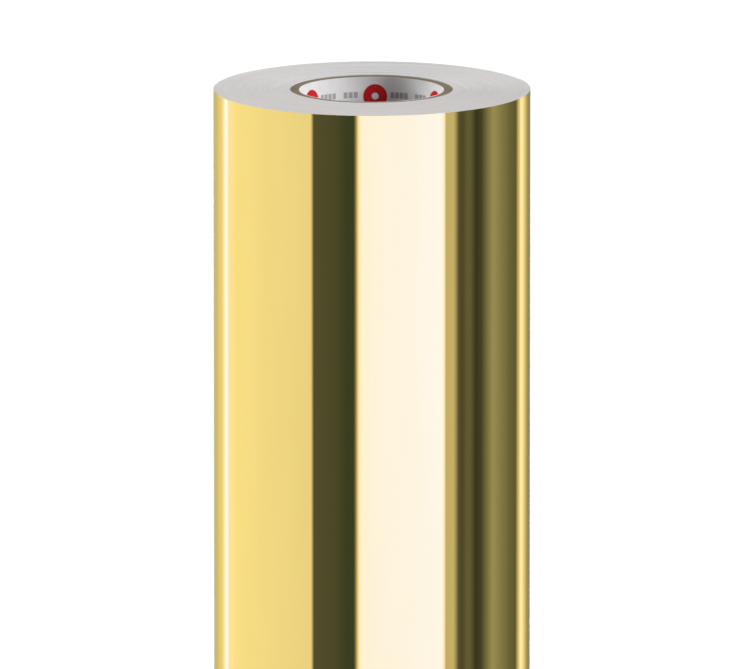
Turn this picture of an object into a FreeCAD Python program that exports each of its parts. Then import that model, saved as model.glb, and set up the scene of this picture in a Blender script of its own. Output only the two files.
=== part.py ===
"""Roll of gold mirror sign vinyl, standing on end.

A spiral-wound board core carries one long web of self-adhesive film on its release liner. The web
is wound face out. Its free end is a loose tail, held down by two strips of closing tape.

Millimetres. +Z runs up the roll's axis and z = 0 is the end that it stands on. Angles are in degrees
and run anticlockwise from +X, which is also the way that the web is wound.
"""

import FreeCAD
import Part
import math
import os

# The web: its width, and its two layers from the outside in. The film's thickness holds its adhesive coat.
WEB_WIDTH = 630.0
FILM_THICKNESS = 0.1
LINER_THICKNESS = 0.15
WEB_THICKNESS = FILM_THICKNESS + LINER_THICKNESS

# The core: a board tube that takes a 3 inch spindle and sits a little inside the wound edges
BORE_RADIUS = 76.2 / 2
LINING_THICKNESS = 0.25
PLY_COUNT = 8
PLY_THICKNESS = 0.55
OUTER_PLY_THICKNESS = 0.35
CORE_RECESS = 0.5
PLY_END_STEP = 0.12

# The roll
ROLL_RADIUS = 83.5
START_TAPE_WIDTH = 25.0
START_TAPE_THICKNESS = 0.15
START_TAPE_ANGLE = 250.0

# The tail: the last part of the web, which lies loose on the turn below it
TAIL_START_ANGLE = 20.0
TAIL_STRIP_COUNT = 10
TAIL_STRIP_ANGLE = 12.0
TAIL_CLEARANCE = 0.3
TAIL_EDGE_INSET = 0.2
TAIL_STRIP_GAP = 0.2

# The closing tape: short strips that bridge the tail's end
TAPE_WIDTH = 24.0
TAPE_THICKNESS = 0.15
TAPE_ON_TAIL = 16.0
TAPE_PAST_TAIL = 24.0
TAPE_HEIGHTS = (130.0, 500.0)

# The web gains one pitch in its last turn. Two half turns on two centres make that spiral.
PITCH = WEB_THICKNESS + TAIL_CLEARANCE
AXIS = FreeCAD.Vector(0, 0, 0)
LONGEST_FACE_ANGLE = 6.0
TAIL_RADIUS = ROLL_RADIUS + PITCH
TAIL_END_ANGLE = TAIL_START_ANGLE + TAIL_STRIP_COUNT * TAIL_STRIP_ANGLE
PARTS = "parts"


def polar(radius, angle, centre=AXIS):
    """The point at a radius and an angle round a centre."""
    turn = math.radians(angle)
    return centre + FreeCAD.Vector(radius * math.cos(turn), radius * math.sin(turn), 0)


SECOND_CENTRE = polar(PITCH / 2, TAIL_START_ANGLE)


def arc(radius, start, end, centre=AXIS):
    """A circular arc from one angle to another."""
    middle = polar(radius, (start + end) / 2, centre)
    return Part.Arc(polar(radius, start, centre), middle, polar(radius, end, centre)).toShape()


def line(start, end):
    return Part.LineSegment(start, end).toShape()


def prism(edges, bottom, top, hole=None):
    """A closed outline, less an optional hole's face, raised from bottom to top."""
    face = Part.Face(Part.Wire(Part.__sortEdges__(edges)))
    if hole:
        face = face.cut(hole)
    face.translate(FreeCAD.Vector(0, 0, bottom))
    return face.extrude(FreeCAD.Vector(0, 0, top - bottom))


def ring(inner, outer, bottom, top):
    """A plain tube on the roll's axis."""
    base = FreeCAD.Vector(0, 0, bottom)
    tube = Part.makeCylinder(outer, top - bottom, base)
    return tube.cut(Part.makeCylinder(inner, top - bottom, base))


def short_arcs(radius, start, end):
    """An arc in equal pieces, so that a mesh of a thin strip keeps to its curve."""
    count = math.ceil((end - start) / LONGEST_FACE_ANGLE)
    step = (end - start) / count
    return [arc(radius, start + i * step, start + (i + 1) * step) for i in range(count)]


def sector(inner, outer, start, end, bottom, top):
    """A curved strip on the roll's axis, between two angles."""
    edges = [
        *short_arcs(outer, start, end),
        line(polar(outer, end), polar(inner, end)),
        *short_arcs(inner, start, end),
        line(polar(inner, start), polar(outer, start)),
    ]
    return prism(edges, bottom, top)


def spiral_turn(radius):
    """The two arcs of one turn of the web, and its two ends. radius is where the turn begins."""
    half, full = TAIL_START_ANGLE + 180, TAIL_START_ANGLE + 360
    arcs = [
        arc(radius, TAIL_START_ANGLE, half),
        arc(radius + PITCH / 2, half, full, SECOND_CENTRE),
    ]
    return arcs, polar(radius, TAIL_START_ANGLE), polar(radius + PITCH, TAIL_START_ANGLE)


def core():
    """The printed lining, the board plies and the smooth outer ply, each a tube of its own."""
    bottom, top = CORE_RECESS, WEB_WIDTH - CORE_RECESS
    pieces = {}
    inner = BORE_RADIUS + LINING_THICKNESS
    pieces["core_lining"] = ring(BORE_RADIUS, inner, bottom, top)
    for number in range(1, PLY_COUNT + 1):
        step = PLY_END_STEP * (number % 2)
        pieces[f"core_ply_{number}"] = ring(inner, inner + PLY_THICKNESS, bottom + step, top - step)
        inner += PLY_THICKNESS
    pieces["core_outer_ply"] = ring(inner, inner + OUTER_PLY_THICKNESS, bottom, top)
    return pieces, inner + OUTER_PLY_THICKNESS


def start_tape(core_radius):
    """The strip that fastens the inner end of the web to the core."""
    half = math.degrees(START_TAPE_WIDTH / 2 / core_radius)
    return sector(
        core_radius,
        core_radius + START_TAPE_THICKNESS,
        START_TAPE_ANGLE - half,
        START_TAPE_ANGLE + half,
        CORE_RECESS,
        WEB_WIDTH - CORE_RECESS,
    )


def wound_web(core_radius, tape):
    """Every turn of the web but the last, as one solid that fits the core, the tape and the last turn."""
    arcs, begin, finish = spiral_turn(ROLL_RADIUS - WEB_THICKNESS)
    hole = Part.Face(Part.Wire(Part.makeCircle(core_radius)))
    pack = prism([*arcs, line(finish, begin)], 0, WEB_WIDTH, hole)
    return pack.cut(tape)


def last_turn(depth, thickness):
    """One layer of the last full turn, depth below the turn's outer face."""
    outer_arcs, outer_begin, outer_finish = spiral_turn(ROLL_RADIUS - depth)
    inner_arcs, inner_begin, inner_finish = spiral_turn(ROLL_RADIUS - depth - thickness)
    ends = [line(outer_begin, inner_begin), line(outer_finish, inner_finish)]
    return prism([*outer_arcs, *inner_arcs, *ends], 0, WEB_WIDTH)


def tail_strip(number, depth, thickness):
    """One layer of one hinged strip of the tail. Strips are counted from 1 where the tail leaves the roll."""
    gap = math.degrees(TAIL_STRIP_GAP / 2 / TAIL_RADIUS)
    start = TAIL_START_ANGLE + (number - 1) * TAIL_STRIP_ANGLE
    outer = TAIL_RADIUS - depth
    return sector(
        outer - thickness,
        outer,
        start + gap,
        start + TAIL_STRIP_ANGLE - gap,
        TAIL_EDGE_INSET,
        WEB_WIDTH - TAIL_EDGE_INSET,
    )


def closing_tape():
    """Both strips of closing tape, stuck on the tail and running on past its end."""
    start = TAIL_END_ANGLE - math.degrees(TAPE_ON_TAIL / TAIL_RADIUS)
    end = TAIL_END_ANGLE + math.degrees(TAPE_PAST_TAIL / TAIL_RADIUS)
    outer = TAIL_RADIUS + TAPE_THICKNESS
    return Part.makeCompound(
        [sector(TAIL_RADIUS, outer, start, end, z, z + TAPE_WIDTH) for z in TAPE_HEIGHTS]
    )


def build():
    """Every piece of the roll, by name."""
    pieces, core_radius = core()
    pieces["start_tape"] = start_tape(core_radius)
    pieces["wound_web"] = wound_web(core_radius, pieces["start_tape"])
    depth = 0.0
    for layer, thickness in (("film", FILM_THICKNESS), ("liner", LINER_THICKNESS)):
        pieces[f"last_turn_{layer}"] = last_turn(depth, thickness)
        for number in range(1, TAIL_STRIP_COUNT + 1):
            pieces[f"tail_{layer}_{number}"] = tail_strip(number, depth, thickness)
        depth += thickness
    pieces["closing_tape"] = closing_tape()
    return pieces


def main():
    os.makedirs(PARTS, exist_ok=True)
    for name, shape in build().items():
        shape.exportStep(os.path.join(PARTS, name + ".step"))
    for number in range(1, TAIL_STRIP_COUNT + 1):
        hinge = polar(TAIL_RADIUS, TAIL_START_ANGLE + (number - 1) * TAIL_STRIP_ANGLE)
        print(f"hinge {number} at x {hinge.x:.3f} y {hinge.y:.3f}")


main()
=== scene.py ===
"""Looks for a roll of gold mirror sign vinyl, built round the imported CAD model. Blender 4.5, metres."""

import math
import random

import bpy
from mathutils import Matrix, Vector


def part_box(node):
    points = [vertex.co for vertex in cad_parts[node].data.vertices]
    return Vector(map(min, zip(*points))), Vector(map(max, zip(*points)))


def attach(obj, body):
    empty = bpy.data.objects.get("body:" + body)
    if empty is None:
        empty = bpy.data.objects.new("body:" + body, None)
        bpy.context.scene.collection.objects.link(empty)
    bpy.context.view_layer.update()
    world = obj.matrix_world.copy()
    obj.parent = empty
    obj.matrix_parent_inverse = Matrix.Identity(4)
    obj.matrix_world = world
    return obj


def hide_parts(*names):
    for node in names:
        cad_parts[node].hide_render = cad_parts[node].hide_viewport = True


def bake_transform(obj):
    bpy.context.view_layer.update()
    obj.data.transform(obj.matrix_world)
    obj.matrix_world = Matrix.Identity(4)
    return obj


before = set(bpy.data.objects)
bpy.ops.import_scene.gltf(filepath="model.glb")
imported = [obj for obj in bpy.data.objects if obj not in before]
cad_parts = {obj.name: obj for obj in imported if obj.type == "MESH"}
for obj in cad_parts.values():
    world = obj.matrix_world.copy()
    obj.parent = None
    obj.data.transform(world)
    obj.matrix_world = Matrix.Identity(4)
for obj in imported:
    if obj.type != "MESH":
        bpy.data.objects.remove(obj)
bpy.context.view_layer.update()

# ---------------------------------------------------------------- sizes, as in the CAD
MM = 0.001
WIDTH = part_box("wound_web")[1].z
BORE_RADIUS = 38.1 * MM
LINING = 0.25 * MM
PLY = 0.55 * MM
PLY_COUNT = 8
OUTER_PLY = 0.35 * MM
RECESS = 0.5 * MM
PLY_END_STEP = 0.12 * MM
CORE_RADIUS = BORE_RADIUS + LINING + PLY_COUNT * PLY + OUTER_PLY
FILM = 0.1 * MM
LINER = 0.15 * MM
WEB = FILM + LINER
ROLL_RADIUS = 83.5 * MM
CLEARANCE = 0.3 * MM
PITCH = WEB + CLEARANCE
TAIL_RADIUS = ROLL_RADIUS + PITCH
TAIL_START = 20.0
STRIP = 12.0
STRIPS = 10
TAIL_END = TAIL_START + STRIP * STRIPS
TAIL_INSET = 0.2 * MM
START_TAPE_ANGLE = 250.0
START_TAPE_WIDTH = 25 * MM
START_TAPE_THICKNESS = 0.15 * MM
TAPE_WIDTH = 24 * MM
TAPE_THICKNESS = 0.15 * MM
TAPE_ON_TAIL = 16 * MM
TAPE_PAST_TAIL = 24 * MM
TAPE_HEIGHTS = (130 * MM, 500 * MM)

# The wound web is one spiral. Its first and last turns begin 159 pitches apart.
TURNS = 160
TURN_STEPS = 128
WEB_STEPS = TURNS * TURN_STEPS
WEB_PITCH = (ROLL_RADIUS - WEB - CORE_RADIUS) / (TURNS - 1)


# ---------------------------------------------------------------- mesh helpers
def polar(radius, angle, centre=(0.0, 0.0)):
    """The point at a radius and an angle in degrees round a centre."""
    turn = math.radians(angle)
    return centre[0] + radius * math.cos(turn), centre[1] + radius * math.sin(turn)


SECOND_CENTRE = polar(PITCH / 2, TAIL_START)


def turn_point(radius, angle):
    """A point on the last turn's spiral of two half turns. radius is where the turn begins."""
    if angle <= TAIL_START + 180:
        return polar(radius, angle)
    return polar(radius + PITCH / 2, angle, SECOND_CENTRE)


def piece(name, verts, faces, material, crease=35.0):
    """A smooth-shaded mesh object whose edges sharper than crease stay sharp."""
    mesh = bpy.data.meshes.new(name)
    mesh.from_pydata([tuple(v) for v in verts], [], faces)
    mesh.validate()
    mesh.update()
    mesh.shade_smooth()
    mesh.set_sharp_from_angle(angle=math.radians(crease))
    mesh.materials.append(material)
    obj = bpy.data.objects.new(name, mesh)
    bpy.context.scene.collection.objects.link(obj)
    return obj


def ring_piece(name, profile, steps, material, wobble=None):
    """Turns a closed profile of (radius, height) points round the axis.

    wobble(angle, index) adds to the height of the profile's point at index.
    """
    n = len(profile)
    verts, faces = [], []
    for i in range(steps):
        angle = 360.0 * i / steps
        for j, (radius, z) in enumerate(profile):
            lift = wobble(angle, j) if wobble else 0.0
            verts.append((*polar(radius, angle), z + lift))
        a, b = i * n, (i + 1) % steps * n
        for j in range(n):
            k = (j + 1) % n
            faces.append((a + j, b + j, b + k, a + k))
    return piece(name, verts, faces, material)


def shell(name, angles, outer, inner, low, high, material):
    """A closed strip of one layer, with outer and inner giving its points by angle.

    Its normals are those of the true curve, not of its flat faces.
    """
    up, down = Vector((0, 0, 1)), Vector((0, 0, -1))
    out = [Vector((*polar(1.0, angle), 0)) for angle in angles]
    verts, faces, normals = [], [], []
    for angle in angles:
        face, back = outer(angle), inner(angle)
        verts += [(*face, low), (*face, high), (*back, high), (*back, low)]
    for i in range(len(angles) - 1):
        a, b = 4 * i, 4 * i + 4
        n0, n1 = out[i], out[i + 1]
        sides = ((n0, n1, n1, n0), (up,) * 4, (-n0, -n1, -n1, -n0), (down,) * 4)
        for j, shade in enumerate(sides):
            k = (j + 1) % 4
            faces.append((a + j, b + j, b + k, a + k))
            normals += shade
    last = len(verts) - 1
    faces += [(0, 1, 2, 3), (last, last - 1, last - 2, last - 3)]
    normals += [out[0].cross(up)] * 4 + [up.cross(out[-1])] * 4
    obj = piece(name, verts, faces, material)
    obj.data.normals_split_custom_set(normals)
    return obj


def angles_between(start, end, step):
    """Evenly spaced angles from start to end."""
    count = round((end - start) / step)
    return [start + (end - start) * i / count for i in range(count + 1)]


# ---------------------------------------------------------------- material helpers
class Nodes:
    """Short forms for building a node tree."""

    def __init__(self, name):
        self.material = bpy.data.materials.new(name)
        self.material.use_nodes = True
        self.tree = self.material.node_tree
        self.tree.nodes.clear()
        self.out = self.tree.nodes.new("ShaderNodeOutputMaterial")
        self.shader = self.tree.nodes.new("ShaderNodeBsdfPrincipled")
        self.tree.links.new(self.shader.outputs[0], self.out.inputs[0])

    def node(self, kind, **settings):
        made = self.tree.nodes.new(kind)
        for key, value in settings.items():
            setattr(made, key, value)
        return made

    def link(self, source, target):
        """Sets a socket to a number or a tuple, or links it to another socket."""
        if isinstance(source, (int, float, tuple)):
            target.default_value = source
        else:
            self.tree.links.new(source, target)

    def set(self, **sockets):
        """Sets or links the shader's own sockets, named with _ for a space."""
        for key, value in sockets.items():
            self.link(value, self.shader.inputs[key.replace("_", " ")])

    def math(self, operation, a, b=0.0, c=0.0, clamp=False):
        made = self.node("ShaderNodeMath", operation=operation, use_clamp=clamp)
        for i, v in enumerate((a, b, c)):
            self.link(v, made.inputs[i])
        return made.outputs[0]

    def position(self):
        """Object coordinates, as one vector and as separate x, y and z."""
        coords = self.node("ShaderNodeTexCoord")
        split = self.node("ShaderNodeSeparateXYZ")
        self.link(coords.outputs["Object"], split.inputs[0])
        return coords.outputs["Object"], split.outputs

    def combine(self, x, y, z):
        made = self.node("ShaderNodeCombineXYZ")
        for i, v in enumerate((x, y, z)):
            self.link(v, made.inputs[i])
        return made.outputs[0]

    def cylindrical(self):
        """Radius, angle in radians and height of a point."""
        _, (x, y, z) = self.position()
        return self.length(x, y), self.math("ARCTAN2", y, x), z

    def length(self, x, y):
        """The length of a flat vector."""
        squares = self.math("ADD", self.math("MULTIPLY", x, x), self.math("MULTIPLY", y, y))
        return self.math("SQRT", squares)

    def noise(self, vector, scale, detail=2.0, roughness=0.5, dimensions="3D"):
        made = self.node("ShaderNodeTexNoise", noise_dimensions=dimensions)
        if dimensions == "1D":
            self.link(vector, made.inputs["W"])
        else:
            self.link(vector, made.inputs["Vector"])
        made.inputs["Scale"].default_value = scale
        made.inputs["Detail"].default_value = detail
        made.inputs["Roughness"].default_value = roughness
        return made.outputs["Fac"]

    def stretch(self, vector, x, y, z):
        made = self.node("ShaderNodeMapping")
        self.link(vector, made.inputs["Vector"])
        made.inputs["Scale"].default_value = (x, y, z)
        return made.outputs[0]

    def remap(self, value, low, high, to_low=0.0, to_high=1.0):
        made = self.node("ShaderNodeMapRange", clamp=True)
        for i, v in enumerate((value, low, high, to_low, to_high)):
            self.link(v, made.inputs[i])
        return made.outputs[0]

    def mix(self, factor, a, b):
        made = self.node("ShaderNodeMix", data_type="RGBA")
        self.link(factor, made.inputs[0])
        for socket, v in ((made.inputs[6], a), (made.inputs[7], b)):
            self.link((*v, 1.0) if isinstance(v, tuple) else v, socket)
        return made.outputs[2]

    def bump(self, height, distance):
        made = self.node("ShaderNodeBump")
        self.link(height, made.inputs["Height"])
        made.inputs["Distance"].default_value = distance
        self.link(made.outputs[0], self.shader.inputs["Normal"])


# ---------------------------------------------------------------- materials
# A whole number of turns or cells, added before FRACT so that it never sees a negative number
KEEP_POSITIVE = 8.0


def gold_material():
    """Vacuum-metallised film: a clean gold mirror, with a faint drift of tone along the web.

    Its roughness is one number and it has no bump, because a map of either would blur the mirror.
    """
    m = Nodes("gold_mirror_film")
    where, _ = m.position()
    flow = m.noise(m.stretch(where, 1.0, 1.0, 0.12), 60.0, 3.0)
    tone = m.remap(flow, 0.3, 0.7, 0.0, 1.0)
    m.set(
        Base_Color=m.mix(tone, (0.94, 0.722, 0.228), (0.96, 0.738, 0.242)),
        Metallic=1.0,
        Roughness=0.028,
        Specular_Tint=(1.0, 0.92, 0.60, 1.0),
    )
    return m.material


def liner_material():
    """Glassine release liner: smooth off-white paper with a silicone face."""
    m = Nodes("release_liner_paper")
    where, _ = m.position()
    cloud = m.noise(where, 90.0, 4.0, 0.6)
    fibre = m.noise(m.stretch(where, 1.0, 1.0, 5.0), 1400.0, 3.0, 0.6)
    m.set(
        Base_Color=m.mix(m.remap(cloud, 0.3, 0.7), (0.76, 0.745, 0.70), (0.82, 0.81, 0.78)),
        Roughness=m.remap(fibre, 0.2, 0.8, 0.30, 0.42),
        Specular_IOR_Level=0.5,
    )
    m.bump(fibre, 0.01 * MM)
    return m.material


def edge_material():
    """The wound edges: a fine line of film beside a wider one of liner in every turn."""
    m = Nodes("wound_edges")
    radius, angle, _ = m.cylindrical()
    turns_out = m.math("DIVIDE", m.math("SUBTRACT", radius, CORE_RADIUS), WEB_PITCH)
    lead = m.math("DIVIDE", m.math("SUBTRACT", angle, math.radians(TAIL_START)), 2 * math.pi)
    phase = m.math("FRACT", m.math("ADD", m.math("SUBTRACT", turns_out, lead), KEEP_POSITIVE))
    # The film lies 0.8 of the way out through each turn.
    film = m.remap(m.math("PINGPONG", m.math("SUBTRACT", phase, 0.8), 0.5), 0.12, 0.22, 1.0, 0.0)
    groups = m.noise(m.math("MULTIPLY", radius, 1 / MM), 0.55, 5.0, 0.75, "1D")
    ring = m.combine(m.math("MULTIPLY", radius, 900.0), m.math("MULTIPLY", angle, 1.2), 0.0)
    drift = m.noise(ring, 1.0, 4.0, 0.6)
    where, _ = m.position()
    speck = m.noise(where, 2600.0, 2.0)
    paper = m.mix(m.remap(groups, 0.3, 0.7), (0.593, 0.574, 0.565), (0.632, 0.614, 0.605))
    lined = m.mix(m.math("MULTIPLY", film, 0.42), paper, (0.36, 0.335, 0.30))
    toned = m.mix(m.remap(drift, 0.25, 0.75, 0.0, 0.16), lined, (0.42, 0.40, 0.39))
    m.set(
        Base_Color=toned,
        Roughness=m.remap(speck, 0.2, 0.8, 0.42, 0.62),
        Specular_IOR_Level=0.35,
    )
    m.bump(m.math("ADD", speck, groups), 0.02 * MM)
    return m.material


def board_material(name, dark, light):
    """Grey-brown core board with fibres and flecks."""
    m = Nodes(name)
    where, _ = m.position()
    fleck = m.noise(where, 900.0, 4.0, 0.7)
    fibre = m.noise(m.stretch(where, 1.0, 1.0, 3.0), 2600.0, 3.0, 0.6)
    chips = m.remap(m.noise(where, 1500.0, 1.0), 0.66, 0.72)
    base = m.mix(m.remap(fleck, 0.25, 0.75), dark, light)
    m.set(
        Base_Color=m.mix(m.math("MULTIPLY", chips, 0.5), base, (0.42, 0.36, 0.28)),
        Roughness=m.remap(fibre, 0.2, 0.8, 0.75, 0.92),
        Specular_IOR_Level=0.25,
    )
    m.bump(m.math("ADD", fibre, fleck), 0.05 * MM)
    return m.material


# The print in the bore, in millimetres: one disc to a cell, with rows of dashes beside it.
PRINT_COLUMNS = 6
PRINT_ROW_HEIGHT = 34
PRINT_ROW_SHIFT = 13
PRINT_SHIFT = 2
DISC_DEPTH = 10.3
DISC_RADIUS, DISC_HOLE_RADIUS = 6.55, 1.95
DISC_SOFT_EDGE = 0.25
# Each row of dashes: its centre across and down from the disc's, its half sizes, and how many dashes
DASH_ROWS = ((-13.2, -0.8, 5.2, 1.6, 4), (13.2, -0.8, 4.2, 1.6, 3), (-12.6, 2.9, 4.6, 0.6, 2))


def dash_row(m, u, v, centre_u, centre_v, half_u, half_v, count):
    """A mask of one row of short dashes. u and v are the place in the cell."""
    across = m.math("SUBTRACT", u, centre_u * MM)
    past_u = m.math("SUBTRACT", m.math("ABSOLUTE", across), half_u * MM)
    down = m.math("SUBTRACT", v, centre_v * MM)
    past_v = m.math("SUBTRACT", m.math("ABSOLUTE", down), half_v * MM)
    each = 2 * half_u * MM / count
    gap = m.math("PINGPONG", m.math("ADD", across, half_u * MM), each / 2)
    row = m.remap(m.math("MAXIMUM", past_u, past_v), -0.08 * MM, 0.08 * MM, 1.0, 0.0)
    return m.math("MULTIPLY", row, m.remap(gap, each * 0.08, each * 0.14))


def lining_material():
    """Coated lining of the bore, with a spiral seam and a plain repeated print of discs and dashes."""
    m = Nodes("printed_lining")
    _, angle, z = m.cylindrical()
    depth = m.math("SUBTRACT", WIDTH - RECESS, z)
    around = m.math("MULTIPLY", m.math("ADD", angle, math.pi), BORE_RADIUS)

    # The place in the print's cell, from its disc's centre
    repeat = 2 * math.pi * BORE_RADIUS / PRINT_COLUMNS
    band = PRINT_ROW_HEIGHT * MM
    row = m.math("FLOOR", m.math("DIVIDE", depth, band))
    shift = m.math("MULTIPLY_ADD", row, PRINT_ROW_SHIFT * MM, PRINT_SHIFT * MM)
    shifted = m.math("ADD", around, shift)
    column = m.math("FRACT", m.math("ADD", m.math("DIVIDE", shifted, repeat), KEEP_POSITIVE))
    u = m.math("MULTIPLY", m.math("SUBTRACT", column, 0.5), repeat)
    in_band = m.math("MULTIPLY", m.math("FRACT", m.math("DIVIDE", depth, band)), band)
    v = m.math("SUBTRACT", in_band, DISC_DEPTH * MM)

    apart = m.length(u, v)
    rim = m.remap(apart, (DISC_RADIUS - DISC_SOFT_EDGE) * MM, DISC_RADIUS * MM, 1.0, 0.0)
    hole = m.remap(apart, (DISC_HOLE_RADIUS - DISC_SOFT_EDGE) * MM, DISC_HOLE_RADIUS * MM, 0.0, 1.0)
    disc = m.math("MULTIPLY", rim, hole)
    dashes = 0.0
    for dash_place in DASH_ROWS:
        dashes = m.math("MAXIMUM", dashes, dash_row(m, u, v, *dash_place))

    where, _ = m.position()
    wear = m.remap(m.noise(where, 1300.0, 3.0), 0.16, 0.34)
    seam_at = m.math("SUBTRACT", m.math("MULTIPLY", z, 1.35), around)
    seam_phase = m.math("PINGPONG", m.math("DIVIDE", seam_at, 2 * math.pi * BORE_RADIUS), 0.5)
    seam = m.remap(seam_phase, 0.0008, 0.0016, 1.0, 0.0)
    cloud = m.noise(where, 160.0, 4.0)
    paper = m.mix(m.remap(cloud, 0.3, 0.7), (0.62, 0.62, 0.62), (0.67, 0.67, 0.67))
    red_ink = m.math("MULTIPLY", disc, m.math("MULTIPLY", wear, 0.99))
    grey_ink = m.math("MULTIPLY", dashes, m.math("MULTIPLY", wear, 0.8))
    printed = m.mix(red_ink, paper, (0.50, 0.004, 0.008))
    printed = m.mix(grey_ink, printed, (0.24, 0.24, 0.24))
    m.set(
        Base_Color=m.mix(m.math("MULTIPLY", seam, 0.7), printed, (0.30, 0.29, 0.27)),
        Roughness=m.remap(cloud, 0.2, 0.8, 0.30, 0.42),
        Specular_IOR_Level=0.1,
    )
    m.bump(m.math("SUBTRACT", m.math("MULTIPLY", cloud, 0.3), seam), 0.06 * MM)
    return m.material


def tape_material(name, low, high, roughness):
    """Crepe paper tape: fine ridges across its length."""
    m = Nodes(name)
    where, _ = m.position()
    crepe = m.noise(m.stretch(where, 1.0, 1.0, 0.18), 1900.0, 3.0, 0.65)
    cloud = m.noise(where, 220.0, 3.0)
    tone = m.math("ADD", crepe, m.math("MULTIPLY", cloud, 0.6))
    m.set(
        Base_Color=m.mix(m.remap(tone, 0.5, 1.1), low, high),
        Roughness=roughness,
        Specular_IOR_Level=0.35,
    )
    m.bump(crepe, 0.08 * MM)
    return m.material


gold = gold_material()
liner_paper = liner_material()
edges = edge_material()
board_dark = board_material("core_board_dark", (0.135, 0.108, 0.072), (0.205, 0.168, 0.115))
board_light = board_material("core_board_light", (0.170, 0.138, 0.095), (0.250, 0.208, 0.145))
board_smooth = board_material("core_board_outer", (0.185, 0.150, 0.105), (0.265, 0.222, 0.158))
lining_print = lining_material()
crepe_tape = tape_material("crepe_closing_tape", (0.42, 0.29, 0.13), (0.62, 0.47, 0.25), 0.55)
kraft_tape = tape_material("paper_start_tape", (0.62, 0.55, 0.40), (0.74, 0.68, 0.55), 0.7)


# ---------------------------------------------------------------- the core
LINING_STEPS, PLY_STEPS = 256, 192
SMOOTH_EDGE = 0.05 * MM
PLY_EDGE = 0.07 * MM
FRAY = 0.018 * MM
FRAY_INSET = 0.02 * MM
FRAY_WAVES = (5, 11, 23)


def tube_profile(r0, r1, low, high, soft):
    """A tube's section with its four corners cut by soft. Points 0 and 1 are its foot, 4 and 5 its top."""
    return [
        (r0 + soft, low), (r1 - soft, low), (r1, low + soft), (r1, high - soft),
        (r1 - soft, high), (r0 + soft, high), (r0, high - soft), (r0, low + soft),
    ]


def core_piece(name, node, profile, steps, material, wobble=None):
    tube = ring_piece(name, profile, steps, material, wobble)
    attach(tube, "roll")
    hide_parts(node)


def build_core():
    """The printed lining, the frayed plies and the smooth outer ply. The start tape keeps its CAD shape."""
    top, bottom = WIDTH - RECESS, RECESS
    inner = BORE_RADIUS
    profile = tube_profile(inner, inner + LINING, bottom, top, SMOOTH_EDGE)
    core_piece("lining", "core_lining", profile, LINING_STEPS, lining_print)
    inner += LINING
    rng = random.Random(11)
    for number in range(1, PLY_COUNT + 1):
        step = PLY_END_STEP * (number % 2)
        phases = [rng.uniform(0, 360) for _ in FRAY_WAVES]

        def fray(angle, index, phases=phases):
            """The sawn end of a ply isn't quite level."""
            wave = sum(math.sin(math.radians(angle * k + p)) / k for k, p in zip(FRAY_WAVES, phases))
            if index in (4, 5):
                return FRAY * wave - FRAY_INSET
            if index in (0, 1):
                return FRAY * wave + FRAY_INSET
            return 0.0

        core_piece(
            f"board_ply_{number}",
            f"core_ply_{number}",
            tube_profile(inner, inner + PLY, bottom + step, top - step, PLY_EDGE),
            PLY_STEPS,
            board_dark if number % 2 else board_light,
            fray,
        )
        inner += PLY
    profile = tube_profile(inner, inner + OUTER_PLY, bottom, top, SMOOTH_EDGE)
    core_piece("board_outer_ply", "core_outer_ply", profile, PLY_STEPS, board_smooth)
    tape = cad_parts["start_tape"]
    tape.data.materials.clear()
    tape.data.materials.append(kraft_tape)


# ---------------------------------------------------------------- the wound web
GROOVE = 0.05 * MM
# How the start tape lifts the turns that cross it
BUMP_TURNS = 14
BUMP_RUN_OUT = 5.0
BUMP_CLEARANCE = 1.12
# How far the web stands below the end: a slow and a quick random walk, four values to a turn
DRIFTS_PER_TURN = 4
DRIFT_DEPTH, DRIFT_LEAST = 0.10, 0.01
SLOW_KEEP, SLOW_STEP = 0.94, 0.018
QUICK_KEEP, QUICK_STEP = 0.55, 0.022


def turn_angle(step):
    """The angle of a step along the spiral."""
    return TAIL_START + 360.0 * (step % TURN_STEPS) / TURN_STEPS


def tape_bump(angle, turn):
    """How far the start tape lifts a turn. The turns over it flatten this out."""
    aside = abs((angle - START_TAPE_ANGLE + 180) % 360 - 180)
    edge = math.degrees(START_TAPE_WIDTH / 2 / CORE_RADIUS) + 360.0 / TURN_STEPS
    over = 1.0 if aside <= edge else max(0.0, 1.0 - (aside - edge) / BUMP_RUN_OUT)
    return BUMP_CLEARANCE * START_TAPE_THICKNESS * over * max(0.0, 1 - turn / BUMP_TURNS)


def web_rim(step):
    """The outer edge of the turn at a step along the spiral."""
    last_turn = WEB_STEPS - TURN_STEPS
    if step >= last_turn:
        return turn_point(ROLL_RADIUS - WEB, TAIL_START + 360.0 * (step - last_turn) / TURN_STEPS)
    turn, angle = step / TURN_STEPS, turn_angle(step)
    return polar(CORE_RADIUS + WEB_PITCH * turn + tape_bump(angle, turn), angle)


def web_drift(rng):
    """How far each step of the web stands below the end, as winding leaves it."""
    values, quick, slow = [], 0.0, 0.0
    for _ in range(TURNS * DRIFTS_PER_TURN + 8):
        slow = SLOW_KEEP * slow + rng.gauss(0, SLOW_STEP)
        quick = QUICK_KEEP * quick + rng.gauss(0, QUICK_STEP)
        values.append(max(DRIFT_LEAST, DRIFT_DEPTH + slow + quick))
    depths = []
    for step in range(WEB_STEPS + 1):
        place = step * DRIFTS_PER_TURN / TURN_STEPS
        before, share = int(place), place % 1
        depths.append((values[before] * (1 - share) + values[before + 1] * share) * MM)
    return depths


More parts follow.
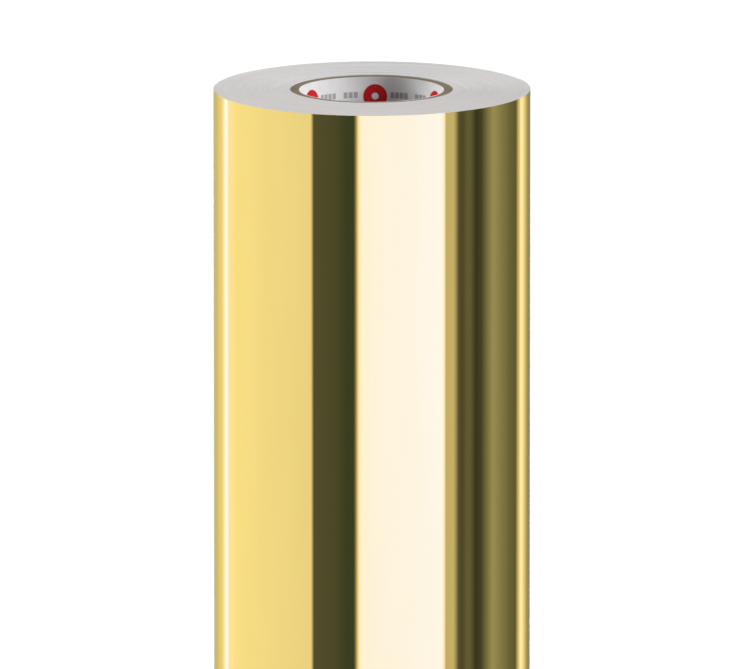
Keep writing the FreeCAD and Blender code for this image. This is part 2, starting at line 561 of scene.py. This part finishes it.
def build_wound_web():
    """One long spiral: a ridge for each turn's edges and a groove between turns, on both ends."""
    rng = random.Random(7)
    verts, faces = [], []
    circle = [polar(CORE_RADIUS + tape_bump(turn_angle(i), 0), turn_angle(i)) for i in range(TURN_STEPS)]
    rim = [web_rim(step) for step in range(WEB_STEPS + 1)]
    ends = []
    for sign, height in ((1, WIDTH), (-1, 0.0)):
        low = web_drift(rng)
        on_core = len(verts)
        for i in range(TURN_STEPS):
            verts.append((*circle[i], height - sign * (low[i] + GROOVE)))
        on_rim = len(verts)
        for step in range(WEB_STEPS + 1):
            verts.append((*rim[step], height - sign * (low[step] + GROOVE)))
        on_ridge = len(verts)
        for step in range(WEB_STEPS + 1):
            inner = circle[step] if step < TURN_STEPS else rim[step - TURN_STEPS]
            middle = ((inner[0] + rim[step][0]) / 2, (inner[1] + rim[step][1]) / 2)
            verts.append((*middle, height - sign * low[step]))
        ends.append((on_core, on_rim, on_ridge))
        for step in range(WEB_STEPS):
            # The inner edge of a turn is the core's circle, or else the rim of the turn before.
            a, b = [
                on_core + g if g < TURN_STEPS else on_rim + g - TURN_STEPS for g in (step, step + 1)
            ]
            ridge, outer = on_ridge + step, on_rim + step
            for quad in ((a, b, ridge + 1, ridge), (ridge, ridge + 1, outer + 1, outer)):
                faces.append(quad if sign < 0 else quad[::-1])

    (core_top, rim_top, ridge_top), (core_foot, rim_foot, ridge_foot) = ends
    for i in range(TURN_STEPS - 1):
        faces.append((core_top + i, core_top + i + 1, core_foot + i + 1, core_foot + i))
    faces.append((core_top + TURN_STEPS - 1, rim_top, rim_foot, core_foot + TURN_STEPS - 1))
    for step in range(WEB_STEPS - TURN_STEPS, WEB_STEPS):
        faces.append((rim_top + step, rim_foot + step, rim_foot + step + 1, rim_top + step + 1))
    # The step where the last turn ends over the start of the one before
    end, before = WEB_STEPS, WEB_STEPS - TURN_STEPS
    faces.append((rim_top + end, rim_foot + end, ridge_foot + end, ridge_top + end))
    faces.append((ridge_top + end, ridge_foot + end, rim_foot + before, rim_top + before))
    wound = piece("wound_turns", verts, faces, edges, 60.0)
    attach(wound, "roll")
    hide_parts("wound_web")


# ---------------------------------------------------------------- the last turn and the tail
CURVE_STEP = 0.5
# Each layer's name, depth below the outer face, thickness, material and slot
LAYERS = (
    ("film", 0.0, FILM, gold, "gold_film"),
    ("liner", FILM, LINER, liner_paper, "release_liner"),
)


def build_last_turn():
    """The two layers of the last full turn."""
    for layer, depth, thickness, material, slot in LAYERS:
        outer = ROLL_RADIUS - depth
        turn = shell(
            f"{layer}_last_turn",
            angles_between(TAIL_START, TAIL_START + 360, CURVE_STEP),
            lambda angle: turn_point(outer, angle),
            lambda angle: turn_point(outer - thickness, angle),
            0.0,
            WIDTH,
            material,
        )
        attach(turn, "roll")
        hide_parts(f"last_turn_{layer}")


def build_tail():
    """The tail is cut at the middle of each strip. Only the piece past the last cut is attached to a body,
    its strip's; the others stay where they are built.

    Between cuts it has points only at the cuts and the hinge. Straightened, those would lie a constant
    distance apart with their normals parallel, so that a straightened tail would mirror as a flat sheet
    does.
    """
    cuts = [TAIL_START] + [TAIL_START + STRIP * (k - 0.5) for k in range(1, STRIPS + 1)] + [TAIL_END]
    for layer, depth, thickness, material, slot in LAYERS:
        outer = TAIL_RADIUS - depth
        for k in range(STRIPS + 1):
            bends_in_middle = 0 < k < STRIPS
            part = shell(
                f"{layer}_tail_{k}",
                angles_between(cuts[k], cuts[k + 1], STRIP / 2 if bends_in_middle else CURVE_STEP),
                lambda angle: polar(outer, angle),
                lambda angle: polar(outer - thickness, angle),
                TAIL_INSET,
                WIDTH - TAIL_INSET,
                material,
            )
            if k == STRIPS:
                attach(part, f"tail_{k}")
            else:
                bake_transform(part)
            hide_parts(f"tail_{layer}_{max(k, 1)}")


# ---------------------------------------------------------------- closing tape
TAPE_STEPS, TAPE_ROWS = 320, 28
RAGGED = 0.55 * MM
STEP_DOWN = 1.5 * MM
GLUE_GAP, ROLL_GAP = 0.01 * MM, 0.02 * MM
CREPE_PITCHES = (0.7, 0.9, 1.2, 1.7, 2.3)
CREPE_HEIGHT = 0.014 * MM
CREPE_WANDER, CREPE_WANDER_RATE = 1.2, 700


def tape_seat(past):
    """The radius that the tape lies on, past the tail's end, where it steps down to the turn below."""
    down = min(1.0, max(0.0, past / STEP_DOWN))
    down = down * down * (3 - 2 * down)
    return TAIL_RADIUS + (ROLL_RADIUS + ROLL_GAP - TAIL_RADIUS) * down


def crepe_height(past, z, waves):
    """The sum of the crepe's waves along the tape. Each wanders across its width."""
    return sum(
        math.sin(6.283 * past / pitch + p + CREPE_WANDER * math.sin(z * CREPE_WANDER_RATE + q))
        for pitch, p, q in waves
    )


def build_tapes():
    """Two strips of crepe tape with ragged ends, which hold the tail's end down."""
    rng = random.Random(23)
    start = TAIL_END - math.degrees(TAPE_ON_TAIL / TAIL_RADIUS)
    end = TAIL_END + math.degrees(TAPE_PAST_TAIL / TAIL_RADIUS)
    n = TAPE_ROWS + 1
    for number, z0 in enumerate(TAPE_HEIGHTS, 1):
        ragged = [[rng.uniform(0, RAGGED) for _ in range(n)] for _ in range(2)]
        waves = [(pitch * MM, rng.uniform(0, 6.28), rng.uniform(0, 6.28)) for pitch in CREPE_PITCHES]
        outer, inner = [], []
        for i in range(TAPE_STEPS + 1):
            for j in range(n):
                z = z0 + TAPE_WIDTH * j / TAPE_ROWS
                angle = start + (end - start) * (i / TAPE_STEPS)
                if i == 0:
                    angle += math.degrees(ragged[0][j] / TAIL_RADIUS)
                if i == TAPE_STEPS:
                    angle -= math.degrees(ragged[1][j] / TAIL_RADIUS)
                past = math.radians(angle - TAIL_END) * TAIL_RADIUS
                seat = tape_seat(past)
                thick = TAPE_THICKNESS + CREPE_HEIGHT * crepe_height(past, z, waves)
                outer.append((*polar(seat + thick, angle), z))
                inner.append((*polar(seat + GLUE_GAP, angle), z))
        back = len(outer)
        faces = []
        for i in range(TAPE_STEPS):
            for j in range(TAPE_ROWS):
                a = i * n + j
                faces.append((a, a + n, a + n + 1, a + 1))
                faces.append((back + a, back + a + 1, back + a + n + 1, back + a + n))
        for i in range(TAPE_STEPS):
            a, b = i * n, i * n + TAPE_ROWS
            faces.append((a, back + a, back + a + n, a + n))
            faces.append((b, b + n, back + b + n, back + b))
        for j in range(TAPE_ROWS):
            a, b = j, TAPE_STEPS * n + j
            faces.append((a, a + 1, back + a + 1, back + a))
            faces.append((b, back + b, back + b + 1, b + 1))
        tape = piece(f"closing_tape_{number}", outer + inner, faces, crepe_tape, 50.0)
        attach(tape, f"tail_{STRIPS}")
        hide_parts("closing_tape")


# ---------------------------------------------------------------- studio
WALL_RADIUS = 0.8
WALL_BOTTOM, WALL_TOP = -3.0, 3.0

WHITE = (1.0, 1.0, 1.0)
WARM = (1.0, 0.99, 0.80)
GREEN = (0.88, 1.02, 1.0)
BOTTLE_GREEN = (0.77, 1.02, 1.0)
OLIVE = (0.96, 1.06, 1.0)

# What the mirror film sees: the cards and lamps that stand round the studio, in degrees to the right
# of the camera. Each goes evenly from the first light level to the second, and the spaces between
# them shade from one to the next.
STUDIO = (
    ("rear wall, left", -180.0, -150.0, 0.45, 0.66, WARM),
    ("side wall, left", -143.0, -139.0, 0.79, 0.83, WHITE),
    ("lamp's spill", -136.0, -133.2, 0.87, 1.20, WHITE),
    ("strip lamp, left", -128.4, -126.8, 4.00, 3.80, WHITE),
    ("lamp's spill", -123.4, -117.8, 1.33, 1.30, WHITE),
    ("long reflector, left", -115.0, -43.0, 1.01, 0.87, WHITE),
    ("green card", -40.9, -26.0, 0.100, 0.086, GREEN),
    ("bottle green card", -18.0, -12.3, 0.064, 0.060, BOTTLE_GREEN),
    ("softbox's rim", -10.9, -9.2, 0.30, 1.00, WHITE),
    ("wide softbox", -7.6, 49.8, 2.80, 3.40, WHITE),
    ("grey reflector", 52.8, 58.8, 0.57, 0.60, WHITE),
    ("first black card", 62.9, 66.0, 0.102, 0.078, OLIVE),
    ("dim olive strip", 70.5, 72.5, 0.132, 0.132, OLIVE),
    ("second black card", 78.0, 83.4, 0.044, 0.068, OLIVE),
    ("olive reflector", 95.0, 104.0, 0.345, 0.250, OLIVE),
    ("olive wall", 115.0, 125.1, 0.160, 0.120, OLIVE),
    ("lamp's spill", 127.8, 131.6, 0.44, 0.78, WHITE),
    ("strip lamp, right", 134.7, 136.6, 2.05, 2.05, WHITE),
    ("rear wall, right", 139.6, 150.0, 0.97, 0.40, WHITE),
    ("rear corner", 155.0, 168.0, 0.32, 0.28, WHITE),
    ("rear wall", 179.0, 180.0, 0.45, 0.45, WARM),
)


# Above paper white a lamp runs cool: its red stops rising, and its green rises more slowly than its blue.
LAMP_RED, LAMP_GREEN_RISE = 1.045, 0.115


def glow(level, tint):
    """The colour of a light level, with a card's tint."""
    if level > 1:
        return min(level, LAMP_RED), 1 + LAMP_GREEN_RISE * (level - 1), level, 1.0
    return level * tint[0], level * tint[1], level * tint[2], 1.0


def wall_stops():
    """Angles round the wall and the colour at each."""
    marks = []
    for _, first, last, first_level, last_level, tint in STUDIO:
        marks += [(first, first_level, tint), (last, last_level, tint)]
    stops = []
    for (a0, level0, tint0), (a1, level1, tint1) in zip(marks, marks[1:]):
        count = math.ceil(a1 - a0)
        for i in range(count):
            share = i / count
            tint = [t0 + (t1 - t0) * share for t0, t1 in zip(tint0, tint1)]
            stops.append((a0 + (a1 - a0) * share, glow(level0 + (level1 - level0) * share, tint)))
    return stops


def build_studio_wall():
    """A curved wall of light and dark cards, seen only in reflections."""
    verts, colours = [], []
    for angle, colour in wall_stops():
        x, y = polar(WALL_RADIUS, angle - 90)
        verts += [(x, y, WALL_BOTTOM), (x, y, WALL_TOP)]
        colours += [colour] * 2
    last = len(verts)
    faces = [(a, (a + 2) % last, (a + 3) % last, a + 1) for a in range(0, last, 2)]
    mesh = bpy.data.meshes.new("studio_wall")
    mesh.from_pydata(verts, [], faces)
    attribute = mesh.color_attributes.new("glow", "FLOAT_COLOR", "POINT")
    for i, colour in enumerate(colours):
        attribute.data[i].color = colour
    m = Nodes("studio_wall")
    m.tree.nodes.remove(m.shader)
    emit = m.node("ShaderNodeEmission")
    cards = m.node("ShaderNodeAttribute", attribute_name="glow")
    m.link(cards.outputs["Color"], emit.inputs["Color"])
    m.link(emit.outputs[0], m.out.inputs[0])
    mesh.materials.append(m.material)
    wall = bpy.data.objects.new("studio_wall", mesh)
    bpy.context.scene.collection.objects.link(wall)
    wall.visible_camera = False
    wall.visible_diffuse = False
    wall.visible_shadow = False
    wall.visible_transmission = False


FLOOR_HALF = 30.0
FLOOR_DEPTH = 0.3 * MM


def build_floor():
    """A plain pale floor just under the roll. The mirror film doesn't see it."""
    h, z = FLOOR_HALF, -FLOOR_DEPTH
    mesh = bpy.data.meshes.new("floor")
    mesh.from_pydata([(-h, -h, z), (h, -h, z), (h, h, z), (-h, h, z)], [], [(0, 1, 2, 3)])
    m = Nodes("pale_floor")
    where, _ = m.position()
    cloud = m.noise(where, 3.0, 2.0)
    m.set(
        Base_Color=m.mix(cloud, (0.95, 0.95, 0.95), (0.96, 0.96, 0.96)),
        Roughness=0.8,
        Specular_IOR_Level=0.0,
    )
    mesh.materials.append(m.material)
    floor = bpy.data.objects.new("floor", mesh)
    bpy.context.scene.collection.objects.link(floor)
    floor.visible_glossy = False


AMBIENT = 0.05
BACKDROP = 1.0
SOFTBOX_SPREAD = 30
# Two softboxes: the direction that each shines from, and its strength
SOFTBOXES = {
    "key_right": ((1.0, -0.32, 0.49), 3.8),
    "fill_left": ((-1.0, 0.32, 0.49), 4.15),
}


def build_lights():
    """Two broad, distant softboxes, and a world that is white to the camera and dim as light."""
    for name, (direction, strength) in SOFTBOXES.items():
        data = bpy.data.lights.new(name, "SUN")
        data.energy = strength
        data.angle = math.radians(SOFTBOX_SPREAD)
        lamp = bpy.data.objects.new(name, data)
        bpy.context.scene.collection.objects.link(lamp)
        lamp.rotation_mode = "QUATERNION"
        lamp.rotation_quaternion = Vector(direction).to_track_quat("Z", "Y")
        lamp.visible_glossy = False
    world = bpy.data.worlds.new("studio")
    bpy.context.scene.world = world
    world.use_nodes = True
    tree = world.node_tree
    tree.nodes.clear()
    out = tree.nodes.new("ShaderNodeOutputWorld")
    background = tree.nodes.new("ShaderNodeBackground")
    path = tree.nodes.new("ShaderNodeLightPath")
    level = tree.nodes.new("ShaderNodeMapRange")
    tree.links.new(path.outputs["Is Camera Ray"], level.inputs["Value"])
    level.inputs["To Min"].default_value = AMBIENT
    level.inputs["To Max"].default_value = BACKDROP
    tree.links.new(level.outputs[0], background.inputs["Strength"])
    background.inputs["Color"].default_value = (1.0, 1.0, 1.0, 1.0)
    tree.links.new(background.outputs[0], out.inputs[0])


# ---------------------------------------------------------------- camera
# Degrees above the horizon; millimetres of lens and sensor, which make a long lens; metres at the roll
ELEVATION = 10.62
LENS = 1000.0
SENSOR = 36.0
FRAME_WIDTH = 0.3956
AIM_BELOW_TOP = 0.1323
ASIDE = 0.0011


def build_camera():
    """A camera far in front of the roll, which looks slightly down at the upper half of it."""
    data = bpy.data.cameras.new("camera")
    data.lens = LENS
    data.sensor_width = SENSOR
    data.clip_start = 0.1
    data.clip_end = 200
    camera = bpy.data.objects.new("camera", data)
    bpy.context.scene.collection.objects.link(camera)
    bpy.context.scene.camera = camera
    distance = FRAME_WIDTH * LENS / SENSOR
    tilt = math.radians(ELEVATION)
    back = Vector((0.0, -math.cos(tilt), math.sin(tilt)))
    camera.location = Vector((ASIDE, 0.0, WIDTH - AIM_BELOW_TOP)) + back * distance
    camera.rotation_mode = "QUATERNION"
    camera.rotation_quaternion = (-back).to_track_quat("-Z", "Y")


build_core()
build_wound_web()
build_last_turn()
build_tail()
build_tapes()
build_studio_wall()
build_floor()
build_lights()
build_camera()
bpy.context.scene.view_settings.view_transform = "Standard"
